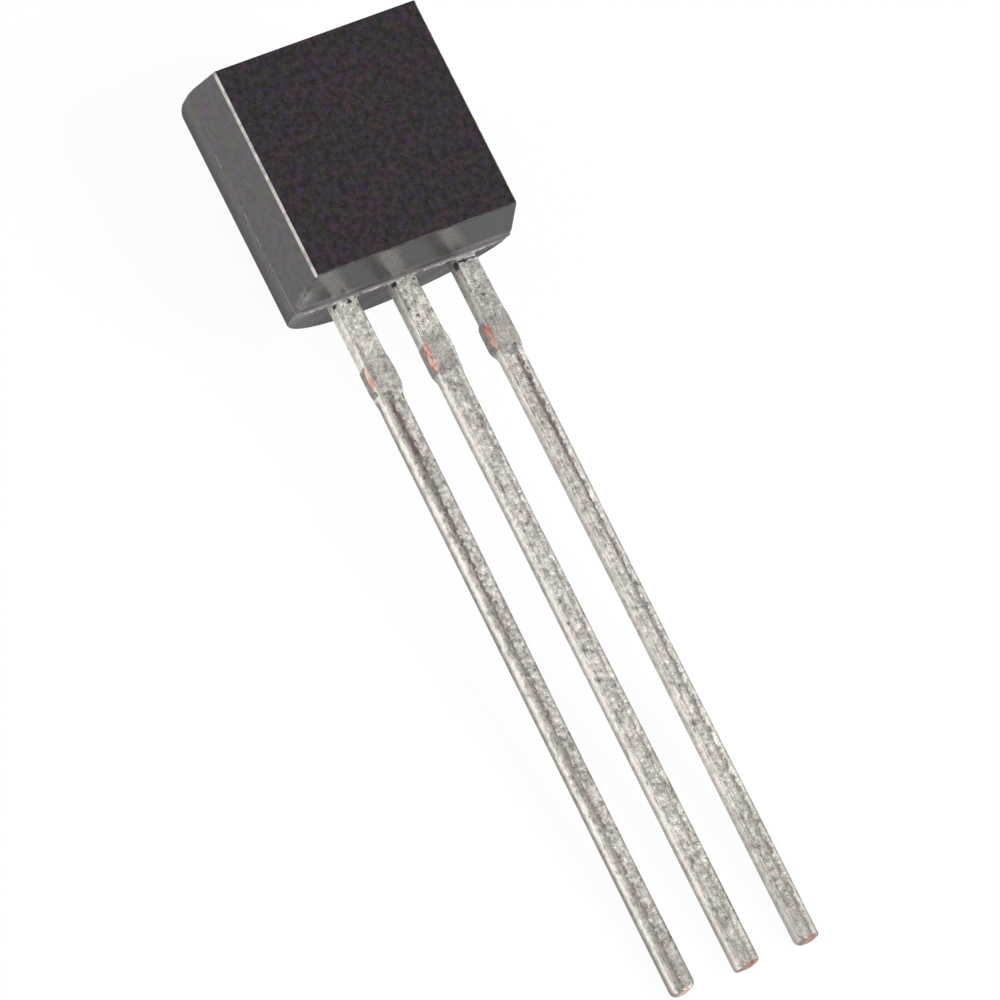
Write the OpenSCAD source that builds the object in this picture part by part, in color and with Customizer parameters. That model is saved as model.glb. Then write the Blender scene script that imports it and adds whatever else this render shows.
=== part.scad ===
// TO-92 transistor: a three-lead, through-hole package with a flat front and a half-round back.
// It lies as it comes to rest, on its round back and its lead tips, with the flat facing up.
// Each piece is drawn standing: X across the flat, Y from the flat to the back, Z up from the
// bottom of the body. lay_down() then turns the standing piece into its place.

/* [Moulded body] */
// Width where the two mould halves meet, which is also the diameter of the round back
body_width = 4.6; // [4.3:0.02:4.8]
// Height where the two mould halves meet
body_height = 4.58; // [4.3:0.02:4.8]
// Depth of the front half, from the flat to the parting plane
front_depth = 1.18; // [1.0:0.02:1.4]
// Width of the flat
flat_width = 4.26; // [3.8:0.02:4.28]
// Draft of the front half's bottom, in degrees
bottom_draft = 11; // [4:0.5:14]
// Draft of the front half's top, in degrees
top_draft = 5.5; // [2:0.5:14]
// Draft of the back half's two ends, in degrees
back_draft = 6; // [2:0.5:10]
// Cut across the four corners of the parting outline
corner_cut = 0.1; // [0.04:0.01:0.16]

/* [Leads] */
// Distance between lead centres
lead_pitch = 1.27; // [1.2:0.01:1.3]
// Length of a lead below the body
lead_length = 14.13; // [12.7:0.01:15.5]
// Width of a lead between the body and its dam-bar stub
lead_width = 0.45; // [0.36:0.01:0.48]
// Thickness of the lead frame
lead_thickness = 0.4; // [0.34:0.01:0.46]
// Width of the tail, the long section below the dam-bar stub
tail_width = 0.43; // [0.34:0.01:0.48]
// Radius along the long edges of the tail
tail_edge_radius = 0.09; // [0.03:0.01:0.1]
// Cut across each corner of a tail's tip
tip_cut = 0.06; // [0.03:0.01:0.1]
// Outward lean of the emitter's tail, in degrees
emitter_splay = 0.3; // [0:0.05:1]
// Outward lean of the base's tail, in degrees
base_splay = 0.15; // [0:0.05:1]

/* [Dam-bar stubs] */
// Distance from the body to a stub
stub_start = 1.3; // [0.8:0.05:1.8]
// Length of a stub at its full width
stub_length = 0.6; // [0.4:0.05:1]
// Width across a stub
stub_width = 0.52; // [0.5:0.01:0.6]
// Length of the sloping shoulder under a stub
stub_shoulder = 0.14; // [0.05:0.01:0.3]

/* [Lead frame inside the body] */
// Height at which an outer post widens into its bonding pad
pad_bottom = 0.95; // [0.7:0.05:1.1]
// Height of the top of a bonding pad
pad_top = 2.35; // [2:0.05:2.6]
// Width of a bonding pad
pad_width = 0.72; // [0.6:0.02:0.8]
// How far a pad's centre stands outside its lead's centre
pad_offset = 0.06; // [0:0.02:0.1]
// Depth of the notch that locks a pad in the moulding
notch_depth = 0.16; // [0.08:0.02:0.2]
// Height of the notch
notch_height = 0.3; // [0.2:0.02:0.4]
// Width of the flag that carries the die
flag_width = 1.36; // [1.2:0.02:1.44]
// Height of the bottom of the flag
flag_bottom = 1.7; // [1.5:0.05:1.9]
// Height of the top of the flag
flag_top = 3.4; // [3.1:0.05:3.7]
// Length of the sloping shoulder where a post widens
post_shoulder = 0.15; // [0.05:0.01:0.25]
// Diameter of the locking hole in the flag
flag_hole = 0.36; // [0.24:0.02:0.44]

/* [Die and bond wires] */
// Side of the square silicon die
die_side = 0.46; // [0.34:0.02:0.56]
// Thickness of the die
die_thickness = 0.2; // [0.12:0.01:0.26]
// Height of the centre of the die
die_height = 2.4; // [2.3:0.05:2.5]
// How far the die attach spreads past each side of the die
attach_margin = 0.03; // [0.01:0.01:0.06]
// Thickness of the die attach
attach_thickness = 0.02; // [0.01:0.005:0.04]
// Diameter of a bond wire
wire_diameter = 0.05; // [0.03:0.005:0.06]
// Diameter of the ball that joins a wire to the die
ball_diameter = 0.1; // [0.08:0.005:0.12]
// Distance of each ball from the centre of the die
ball_offset = 0.11; // [0.08:0.01:0.11]
// Distance of a wire's other foot from the top of its pad
foot_inset = 0.3; // [0.15:0.05:0.5]
// Height of a wire's loop over the die
loop_height = 0.3; // [0.15:0.01:0.4]

/* [Hidden] */

// Roundness of circles, and the number of rings and sides of a bond wire
$fn = 96;
wire_rings = 12;
wire_sides = 8;
// How far a cutting shape passes the surface that it cuts
past = 1;

// The round back is centred in the parting plane
back_radius = body_width / 2;
body_depth = front_depth + back_radius;
// How far each end stands in from the parting outline at the flat and at the back
front_rise = front_depth * tan(bottom_draft);
front_fall = front_depth * tan(top_draft);
back_rise = back_radius * tan(back_draft);

// The lead frame lies behind the parting plane, with the die on its front face
lead_back = front_depth + lead_thickness;
attach_front = front_depth - attach_thickness;
die_front = attach_front - die_thickness;
stub_end = stub_start + stub_length;
pad_centre = lead_pitch + pad_offset;
notch_centre = (pad_bottom + pad_top) / 2;
hole_centre = (die_height + die_side / 2 + flag_top) / 2;

// At rest, the lower end of the back and the back edges of the lead tips touch the surface
rest_angle = atan((body_depth - lead_back) / (lead_length + back_rise));
reach_up = max((body_height - back_rise) * cos(rest_angle) + body_depth * sin(rest_angle),
               body_height * cos(rest_angle) + front_depth * sin(rest_angle));
reach_down = lead_length * cos(rest_angle) - front_depth * sin(rest_angle);
lift = body_depth * cos(rest_angle) - back_rise * sin(rest_angle);

// Outline of a rectangle with round corners, centred on the origin
function round_rectangle(w, h, r, steps = 3) =
    [for (corner = [0:3], step = [0:steps])
        let (a = 90 * (corner + step / steps),
             side = (corner == 0 || corner == 3) ? 1 : -1,
             end = (corner < 2) ? 1 : -1)
        [side * (w / 2 - r) + r * cos(a), end * (h / 2 - r) + r * sin(a)]];

// Turns a standing piece onto its back and sets it on the surface, centred over the origin
module lay_down() {
    translate([0, (reach_down - reach_up) / 2, lift])
        rotate([rest_angle - 90, 0, 0])
            children();
}

// Plan of the body, in X and Y: a tapered front half and a half-round back
module body_plan() {
    polygon([[-flat_width / 2, 0], [flat_width / 2, 0],
             [body_width / 2, front_depth], [-body_width / 2, front_depth]]);
    translate([0, front_depth])
        intersection() {
            circle(r = back_radius);
            translate([-body_width, 0])
                square([2 * body_width, body_width]);
        }
}

// Side view of the body, in Y and Z: both halves slope in from the parting plane
module body_side() {
    polygon([[0, front_rise], [front_depth, 0], [body_depth, back_rise],
             [body_depth, body_height - back_rise], [front_depth, body_height],
             [0, body_height - front_fall]]);
}

// The four wedges that trim the corners of the parting outline
module corner_trims() {
    for (side = [-1, 1], end = [0, 1])
        translate([side * body_width / 2, -past, end * body_height])
            rotate([0, atan2(1 - 2 * end, side), 0])
                translate([-corner_cut / sqrt(2), 0, -past])
                    cube([past, body_depth + 2 * past, 2 * past]);
}

// Front view of a lead from its stub up to a height inside the body, in X and Z
module neck_view(top) {
    polygon([[-lead_width / 2, top], [-lead_width / 2, -stub_start],
             [-stub_width / 2, -stub_start], [-stub_width / 2, -stub_end],
             [-tail_width / 2, -stub_end - stub_shoulder],
             [tail_width / 2, -stub_end - stub_shoulder],
             [stub_width / 2, -stub_end], [stub_width / 2, -stub_start],
             [lead_width / 2, -stub_start], [lead_width / 2, top]]);
}

// Front view of an outer post's pad, in X and Z, with its locking notch on the outer side
module pad_view() {
    difference() {
        polygon([[-lead_width / 2, pad_bottom], [lead_width / 2, pad_bottom],
                 [pad_offset + pad_width / 2, pad_bottom + post_shoulder],
                 [pad_offset + pad_width / 2, pad_top],
                 [pad_offset - pad_width / 2, pad_top],
                 [pad_offset - pad_width / 2, pad_bottom + post_shoulder]]);
        translate([pad_offset + pad_width / 2 - notch_depth, notch_centre - notch_height / 2])
            square([pad_width, notch_height]);
    }
}

// Front view of the collector's flag, in X and Z, with its locking hole above the die
module flag_view() {
    difference() {
        polygon([[-lead_width / 2, flag_bottom], [lead_width / 2, flag_bottom],
                 [flag_width / 2, flag_bottom + post_shoulder],
                 [flag_width / 2, flag_top], [-flag_width / 2, flag_top],
                 [-flag_width / 2, flag_bottom + post_shoulder]]);
        translate([0, hole_centre])
            circle(d = flag_hole);
    }
}

// Gives a front view, drawn in X and Z, the thickness of the lead frame
module frame_plate() {
    translate([0, lead_back, 0])
        rotate([90, 0, 0])
            linear_extrude(height = lead_thickness)
                children();
}

// The stamped part of an outer lead: side is -1 for the emitter and 1 for the base
module outer_plate(side) {
    translate([side * lead_pitch, 0, 0])
        frame_plate()
            scale([side, 1])
                union() {
                    neck_view(pad_bottom);
                    pad_view();
                }
}

// The stamped part of the collector lead
module collector_plate() {
    frame_plate() {
        neck_view(flag_bottom);
        flag_view();
    }
}

// The round-edged tail of a lead, from inside its stub to its tip, leaning about the stub
module tail(lean) {
    start = stub_length / 2;
    drop = lead_length - stub_end;
    translate([0, front_depth + lead_thickness / 2, -stub_end])
        rotate([0, lean, 0])
            difference() {
                translate([0, 0, -drop])
                    linear_extrude(height = drop + start)
                        polygon(round_rectangle(tail_width, lead_thickness, tail_edge_radius));
                for (side = [-1, 1])
                    translate([side * tail_width / 2, 0, -drop])
                        rotate([0, atan2(1, side), 0])
                            translate([-tip_cut / sqrt(2), -past / 2, -past / 2])
                                cube(past);
            }
}

// The die, square to the flag and seated on its attach
module die_block() {
    translate([-die_side / 2, die_front, die_height - die_side / 2])
        cube([die_side, die_thickness, die_side]);
}

// The thin pad of solder under the die
module attach_block() {
    side = die_side + 2 * attach_margin;
    translate([-side / 2, attach_front, die_height - side / 2])
        cube([side, attach_thickness, side]);
}

// A bond wire from its ball on the die to its foot on an outer pad, as rings along its loop
module bond_wire(side) {
    run = [side * (pad_centre - ball_offset), pad_top - foot_inset - die_height];
    reach = norm(run);
    along = run / reach;
    drop = front_depth - die_front;
    ball_end = 0.6 * ball_diameter / (loop_height * PI);
    times = concat([0, ball_end / 2],
                   [for (i = [0:wire_rings]) ball_end + (1 - ball_end) * i / wire_rings]);
    points = [
        for (i = [0:len(times) - 1])
            let (t = times[i],
                 r = (i < 2 ? ball_diameter : wire_diameter) / 2,
                 u = reach * (1 - cos(180 * t)) / 2,
                 h = loop_height * sin(180 * t) - drop * t * t * (3 - 2 * t),
                 slope = [reach * PI / 2 * sin(180 * t),
                          loop_height * PI * cos(180 * t) - drop * 6 * t * (1 - t)],
                 normal = [-slope[1], slope[0]] / norm(slope))
            for (k = [0:wire_sides - 1])
                let (a = 360 * k / wire_sides,
                     pu = u + r * cos(a) * normal[0],
                     ph = h + r * cos(a) * normal[1],
                     pb = r * sin(a))
                [side * ball_offset + pu * along[0] - pb * along[1],
                 die_front - ph,
                 die_height + pu * along[1] + pb * along[0]]];
    last = len(times) - 1;
    walls = [for (i = [0:last - 1], k = [0:wire_sides - 1])
                let (next = (k + 1) % wire_sides)
                [i * wire_sides + k, i * wire_sides + next,
                 (i + 1) * wire_sides + next, (i + 1) * wire_sides + k]];
    ends = [[for (k = [wire_sides - 1:-1:0]) k],
            [for (k = [0:wire_sides - 1]) last * wire_sides + k]];
    polyhedron(points = points, faces = concat(walls, ends));
}

// The epoxy moulding, closed tightly round everything that it embeds
module moulded_body() {
    color([0.1, 0.1, 0.11])
        lay_down()
            difference() {
                intersection() {
                    linear_extrude(height = body_height)
                        body_plan();
                    translate([-body_width, 0, 0])
                        rotate([90, 0, 90])
                            linear_extrude(height = 2 * body_width)
                                body_side();
                }
                corner_trims();
                outer_plate(-1);
                outer_plate(1);
                collector_plate();
                attach_block();
                die_block();
                bond_wire(-1);
                bond_wire(1);
            }
}

module emitter_lead() {
    color([0.74, 0.73, 0.7])
        lay_down()
            union() {
                outer_plate(-1);
                translate([-lead_pitch, 0, 0])
                    tail(emitter_splay);
            }
}

module collector_lead() {
    color([0.74, 0.73, 0.7])
        lay_down()
            union() {
                collector_plate();
                tail(0);
            }
}

module base_lead() {
    color([0.74, 0.73, 0.7])
        lay_down()
            union() {
                outer_plate(1);
                translate([lead_pitch, 0, 0])
                    tail(-base_splay);
            }
}

module silicon_die() {
    color([0.33, 0.34, 0.4])
        lay_down()
            die_block();
}

module die_attach() {
    color([0.6, 0.6, 0.62])
        lay_down()
            attach_block();
}

module emitter_bond_wire() {
    color([0.83, 0.66, 0.3])
        lay_down()
            bond_wire(-1);
}

module base_bond_wire() {
    color([0.83, 0.66, 0.3])
        lay_down()
            bond_wire(1);
}

moulded_body();
emitter_lead();
collector_lead();
base_lead();
silicon_die();
die_attach();
emitter_bond_wire();
base_bond_wire();
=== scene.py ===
import math

import bmesh
import bpy
import numpy as np
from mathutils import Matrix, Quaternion, Vector


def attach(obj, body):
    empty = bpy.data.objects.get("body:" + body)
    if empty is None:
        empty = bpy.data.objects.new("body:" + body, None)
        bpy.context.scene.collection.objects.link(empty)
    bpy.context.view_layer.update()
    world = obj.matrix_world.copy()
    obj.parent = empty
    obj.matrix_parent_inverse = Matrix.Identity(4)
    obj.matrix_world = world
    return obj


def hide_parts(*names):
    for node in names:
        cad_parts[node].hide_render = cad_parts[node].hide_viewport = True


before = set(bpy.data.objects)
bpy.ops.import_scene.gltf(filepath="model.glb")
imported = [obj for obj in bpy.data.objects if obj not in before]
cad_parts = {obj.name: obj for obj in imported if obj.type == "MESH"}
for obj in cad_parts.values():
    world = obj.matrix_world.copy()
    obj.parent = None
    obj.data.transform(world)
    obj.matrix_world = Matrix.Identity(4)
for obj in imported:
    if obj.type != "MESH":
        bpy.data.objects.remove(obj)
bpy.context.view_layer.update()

# A TO-92 transistor lying on its round back, flat up, on three tinned leads.
# Every piece is worked out standing, in millimetres: X across the flat, Y from the flat to the
# back, Z up from the bottom of the moulding. laid() then turns it into its place, in metres.
MM = 0.001
# A height that counts as none
TINY = 0.001

# Moulding. A draft is a wall's lean in degrees, and a slope or taper is the same per millimetre
# of depth.
BODY_WIDTH = 4.6
BODY_HEIGHT = 4.58
FRONT_DEPTH = 1.18
FLAT_WIDTH = 4.26
BOTTOM_DRAFT = 11
TOP_DRAFT = 5.5
BACK_DRAFT = 6
BOTTOM_SLOPE = math.tan(math.radians(BOTTOM_DRAFT))
FRONT_RISE = FRONT_DEPTH * BOTTOM_SLOPE
FRONT_FALL = FRONT_DEPTH * math.tan(math.radians(TOP_DRAFT))
SIDE_TAPER = (BODY_WIDTH - FLAT_WIDTH) / 2 / FRONT_DEPTH
BACK_RADIUS = BODY_WIDTH / 2
BODY_DEPTH = FRONT_DEPTH + BACK_RADIUS
BACK_RISE = BACK_RADIUS * math.tan(math.radians(BACK_DRAFT))
CORNER_CUT = 0.1
SIDE_ROUND = 0.04
END_ROUND = 0.02
SOFT_CORNER = 0.03

# Leads
PITCH = 1.27
LEAD_LENGTH = 14.13
LEAD_WIDTH = 0.45
LEAD_THICKNESS = 0.4
LEAD_BACK = FRONT_DEPTH + LEAD_THICKNESS
STUB_START = 1.3
STUB_END = 1.9
PAD_BOTTOM = 0.95
PAD_TOP = 2.35
PAD_WIDTH = 0.72
PAD_OFFSET = 0.06
NOTCH_DEPTH = 0.16
NOTCH_HEIGHT = 0.3
FLAG_WIDTH = 1.36
FLAG_BOTTOM = 1.7
FLAG_TOP = 3.4
POST_SHOULDER = 0.15
FLAG_HOLE = 0.36
HOLE_CENTRE = 3.015

# Radius of a lead's long edges: inside the moulding, along the front of the neck and of the
# stub, along the back of both, and round the tail, where the start has a smaller one
HEAD_EDGE = 0.012
NECK_EDGE = 0.035
STUB_EDGE = 0.014
BACK_EDGE = 0.010
TAIL_START_EDGE = 0.03
TAIL_EDGE = 0.09

# Rest: the lower end of the back and the back edges of the tips touch the floor
REST = math.atan((BODY_DEPTH - LEAD_BACK) / (LEAD_LENGTH + BACK_RISE))
REACH_UP = max((BODY_HEIGHT - BACK_RISE) * math.cos(REST) + BODY_DEPTH * math.sin(REST),
               BODY_HEIGHT * math.cos(REST) + FRONT_DEPTH * math.sin(REST))
REACH_DOWN = LEAD_LENGTH * math.cos(REST) - FRONT_DEPTH * math.sin(REST)
SHIFT = (REACH_DOWN - REACH_UP) / 2
LIFT = BODY_DEPTH * math.cos(REST) - BACK_RISE * math.sin(REST)


def laid(points):
    """Standing points, laid on the back: Y is z cos(rest) + y sin(rest) plus a shift, and Z is
    z sin(rest) - y cos(rest) plus the lift."""
    x, y, z = np.moveaxis(np.asarray(points, float), -1, 0)
    along = z * math.cos(REST) + y * math.sin(REST) + SHIFT
    height = z * math.sin(REST) - y * math.cos(REST) + LIFT
    return np.stack([x, along, height], -1) * MM


# ---------------------------------------------------------------- camera, floor and light

def look_from(azimuth, elevation, roll, aim, distance, lens):
    """A camera at a distance from its aim point, given beside the standing part: azimuth 0
    looks along +Y, elevation is above the horizon, and roll turns it about its own view."""
    a, e = math.radians(azimuth), math.radians(elevation)
    back = Vector((math.sin(a) * math.cos(e), -math.cos(a) * math.cos(e), math.sin(e)))
    camera = bpy.data.objects.new("camera", bpy.data.cameras.new("camera"))
    camera.data.lens = lens
    camera.data.sensor_width = 36.0
    camera.data.clip_start = 0.01
    camera.data.clip_end = 20.0
    camera.rotation_mode = "QUATERNION"
    level = (-back).to_track_quat("-Z", "Y") @ Quaternion((0, 0, 1), math.radians(roll))
    camera.rotation_quaternion = Quaternion((1, 0, 0), REST - math.pi / 2) @ level
    camera.location = laid(np.array(aim) + np.array(back) * distance)
    bpy.context.scene.collection.objects.link(camera)
    bpy.context.scene.camera = camera


look_from(azimuth=-25.754, elevation=-12.294, roll=-26.753,
          aim=(-0.40233, 0.98523, -4.59935), distance=205.97, lens=412.51)
bpy.context.scene.view_settings.view_transform = "Standard"


class Shade:
    """A number that varies over a surface. Arithmetic on it adds Math nodes to its finish."""

    def __init__(self, finish, socket):
        self.finish = finish
        self.socket = socket

    def math(self, operation, *inputs):
        return self.finish.add("ShaderNodeMath", {"operation": operation},
                               dict(enumerate(inputs)))

    def __add__(self, other):
        return self.math("ADD", self, other)

    def __sub__(self, other):
        return self.math("SUBTRACT", self, other)

    def __rsub__(self, other):
        return self.math("SUBTRACT", other, self)

    def __mul__(self, other):
        return self.math("MULTIPLY", self, other)

    __radd__ = __add__
    __rmul__ = __mul__

    def size(self):
        """The number without its sign."""
        return self.math("ABSOLUTE", self)

    def least(self, other):
        return self.math("MINIMUM", self, other)

    def most(self, other):
        return self.math("MAXIMUM", self, other)

    def step(self, low, high):
        """0 up to low, 1 from high, and a smooth rise between them; high below low falls."""
        return self.finish.add("ShaderNodeMapRange", {"interpolation_type": "SMOOTHSTEP"},
                               {"Value": self, "From Min": low, "From Max": high})

    def near(self, middle, far, close):
        """1 where the number is within close of the middle, and 0 where it is beyond far."""
        return (self - middle).size().step(far, close)


class Finish:
    """A material and the nodes that make it."""

    def __init__(self, name, tree=None):
        if tree is None:
            self.material = bpy.data.materials.new(name)
            self.material.use_nodes = True
            tree = self.material.node_tree
        self.tree = tree
        self.tree.nodes.clear()

    def add(self, kind, settings=None, inputs=None, output=0):
        """A node of a type, its settings, and then the values or links of its sockets."""
        node = self.tree.nodes.new(kind)
        for key, value in (settings or {}).items():
            setattr(node, key, value)
        for key, value in (inputs or {}).items():
            if isinstance(value, Shade):
                self.tree.links.new(value.socket, node.inputs[key])
            else:
                node.inputs[key].default_value = value
        return Shade(self, node.outputs[output]) if len(node.outputs) else node

    def part(self, shade, output):
        """Another output of the node that a shade comes from."""
        return Shade(self, shade.socket.node.outputs[output])

    def standing(self):
        """The place on a piece as it was worked out: standing, in millimetres."""
        place = self.add("ShaderNodeTexCoord", output="Object")
        return self.add("ShaderNodeMapping", {"vector_type": "TEXTURE"},
                        {"Vector": place,
                         "Location": (0, SHIFT * MM, LIFT * MM),
                         "Rotation": (REST - math.pi / 2, 0, 0),
                         "Scale": (MM, MM, MM)})

    def axes(self, vector):
        """The three numbers of a vector."""
        x = self.add("ShaderNodeSeparateXYZ", None, {0: vector}, "X")
        return x, self.part(x, "Y"), self.part(x, "Z")

    def stretched(self, place, scale, shift=(0, 0, 0)):
        """A place scaled along each axis and then moved."""
        return self.add("ShaderNodeVectorMath", {"operation": "MULTIPLY_ADD"},
                        {0: place, 1: scale, 2: shift})

    def moved(self, place, shift):
        """A place moved, so that its noise differs from the noise of other places."""
        return self.stretched(place, (1, 1, 1), shift)

    def noise(self, place, scale, detail=2.0, roughness=0.5):
        """Cloudy noise about 0.5, with its grains 1/scale of a millimetre apart."""
        return self.add("ShaderNodeTexNoise", {"noise_dimensions": "3D"},
                        {"Vector": place, "Scale": scale, "Detail": detail,
                         "Roughness": roughness}, "Fac")

    def mix(self, factor, first, second, blend="MIX"):
        """The first colour at factor 0, and at 1 the second, or its blend with the first. In
        the node, socket 0 is the factor, 6 and 7 are the colours, and output 2 is the result."""
        return self.add("ShaderNodeMix", {"data_type": "RGBA", "blend_type": blend},
                        {0: factor, 6: first, 7: second}, 2)

    def stirred(self, place, scale, reach):
        """A place pushed about by noise, at most by reach along each axis."""
        push = self.part(self.noise(place, scale), "Color")
        push = self.stretched(push, (2 * reach,) * 3, (-reach,) * 3)
        return self.add("ShaderNodeVectorMath", {"operation": "ADD"}, {0: place, 1: push})

    def bump(self, height, depth):
        """Relief: height from 0 to 1 stands depth millimetres proud."""
        return self.add("ShaderNodeBump", None,
                        {"Height": height, "Strength": 1.0, "Distance": depth * MM})

    def surface(self, **sockets):
        """The principled shader, with its sockets named in words, as the material's surface."""
        shader = self.add("ShaderNodeBsdfPrincipled", None,
                          {k.replace("_", " "): v for k, v in sockets.items()})
        self.add("ShaderNodeOutputMaterial", None, {"Surface": shader})
        return self.material


def soft_window(name, side, reach, direction, strength):
    """A square lamp of some side, at a reach from the part and facing it."""
    lamp = bpy.data.lights.new(name, "AREA")
    lamp.shape = "RECTANGLE"
    lamp.size = side
    lamp.size_y = side
    lamp.energy = strength * math.pi * side * side
    window = bpy.data.objects.new(name, lamp)
    window.location = Vector(direction).normalized() * reach
    window.rotation_euler = window.location.to_track_quat("Z", "Y").to_euler()
    bpy.context.scene.collection.objects.link(window)


def light_stage(half_floor=2.0, surround=0.54):
    """A pale floor and an even pale surround, both near white where they are seen or mirrored,
    with one soft window low at the left and one above the tips at the right."""
    floor = Finish("pale_floor")
    seen = floor.add("ShaderNodeLightPath", output="Is Camera Ray")
    mirrored = floor.part(seen, "Is Glossy Ray")
    lit = floor.add("ShaderNodeBsdfDiffuse", None, {"Color": (0.9, 0.9, 0.9, 1)})
    white = floor.add("ShaderNodeEmission", None, {"Color": (1, 1, 1, 1), "Strength": 1.0})
    both = floor.add("ShaderNodeMixShader", None,
                     {0: seen * 0.95 + mirrored * 0.9, 1: lit, 2: white})
    floor.add("ShaderNodeOutputMaterial", None, {"Surface": both})
    mesh = bpy.data.meshes.new("floor")
    corners = np.array([(-1, -1, 0), (1, -1, 0), (1, 1, 0), (-1, 1, 0)]) * half_floor
    mesh.from_pydata(corners.tolist(), [], [(0, 1, 2, 3)])
    mesh.materials.append(floor.material)
    plane = bpy.data.objects.new("floor", mesh)
    bpy.context.scene.collection.objects.link(plane)

    world = bpy.data.worlds.new("surround")
    world.use_nodes = True
    bpy.context.scene.world = world
    sky = Finish("surround", world.node_tree)
    seen = sky.add("ShaderNodeLightPath", output="Is Camera Ray")
    mirrored = sky.part(seen, "Is Glossy Ray")
    strength = surround + (1.0 - surround) * seen.most(mirrored)
    glow = sky.add("ShaderNodeBackground", None, {"Color": (1, 1, 1, 1), "Strength": strength})
    sky.add("ShaderNodeOutputWorld", None, {"Surface": glow})

    soft_window("left_window", side=0.32, reach=0.5, direction=(-0.90, 0.17, 0.38),
                strength=1.9)
    soft_window("right_window", side=0.25, reach=0.5, direction=(0.42, -0.54, 0.73),
                strength=12.5)


light_stage()


# ---------------------------------------------------------------- finishes

BLACK = (0.0, 0.0, 0.0, 1)
# Painted shade: the near black that stands for the shade in a pit and in a gap beside a lead
HOLLOW_SHADE = (0.004, 0.002, 0.003, 1)

# Painted shade where the compound stopped short beside a lead, and on pits and other spots of
# the leads: the centre and half extent of each, and how dark it is
MARKS = (((-1.505, 1.27, -0.085), (0.055, 0.09, 0.05), 1.0),
         ((-1.215, 1.17, -0.112), (0.05, 0.05, 0.035), 1.0),
         ((-1.452, 1.18, -1.07), (0.024, 0.06, 0.24), 0.45),
         ((-1.370, 1.18, -1.95), (0.10, 0.06, 0.028), 0.55),
         ((-1.442, 1.18, -1.50), (0.036, 0.03, 0.36), 0.30),
         ((-0.235, 1.28, -0.085), (0.07, 0.10, 0.055), 1.0),
         ((0.150, 1.17, -0.120), (0.028, 0.05, 0.022), 1.0),
         ((-0.105, 1.17, -0.80), (0.032, 0.05, 0.034), 0.8),
         ((1.060, 1.30, -0.165), (0.06, 0.10, 0.095), 1.0),
         ((1.190, 1.17, -0.133), (0.16, 0.05, 0.030), 1.0),
         ((1.350, 1.17, -0.124), (0.30, 0.05, 0.018), 0.8),
         ((1.255, 1.17, -0.87), (0.026, 0.05, 0.034), 0.8),
         ((1.290, 1.18, -2.04), (0.12, 0.05, 0.07), 0.45))


def mark_shadow(finish, place, middle=0.0, reach=BODY_WIDTH / 2):
    """How dark the painted shade of the marks within reach of a middle, along X, makes a place.
    Each is at its darkest well inside its extent and fades to 0 just outside it."""
    place = finish.stirred(place, scale=14.0, reach=0.05)
    shadow = None
    for centre, extent, dark in MARKS:
        if abs(centre[0] - middle) <= reach:
            scale = [1 / e for e in extent]
            shift = [-c / e for c, e in zip(centre, extent)]
            away = finish.add("ShaderNodeVectorMath", {"operation": "LENGTH"},
                              {0: finish.stretched(place, scale, shift)}, "Value")
            spot = away.step(1.35, 0.65) * dark
            shadow = spot if shadow is None else shadow.most(spot)
    return shadow


# Moulding compound: its flecks, dark and pale, on the matte flat and on the glossier walls,
# where they are partly a painted sheen, the tints that multiply them, and what rubs or settles
# on them, with painted highlights and painted light among it
FLAT_PURPLE = ((0.003, 0.001, 0.004, 1), (0.034, 0.013, 0.032, 1))
FLAT_GREEN = (BLACK, (0.017, 0.020, 0.011, 1))
SHEENED_WALL_PURPLE = ((0.087, 0.070, 0.087, 1), (0.115, 0.094, 0.115, 1))
SHEENED_WALL_GREEN = ((0.073, 0.079, 0.067, 1), (0.099, 0.107, 0.090, 1))
COOL_TO_WARM = ((0.79, 0.96, 1.34, 1), (1.23, 1.04, 0.70, 1))
WORN_AND_HIGHLIT_EDGE = (0.62, 0.58, 0.56, 1)
WORN_AND_HIGHLIT_CREASE = (0.31, 0.30, 0.29, 1)
DUST_AND_LIGHT = (0.26, 0.25, 0.243, 1)
SEAM_FLECK = (0.30, 0.29, 0.26, 1)


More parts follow.
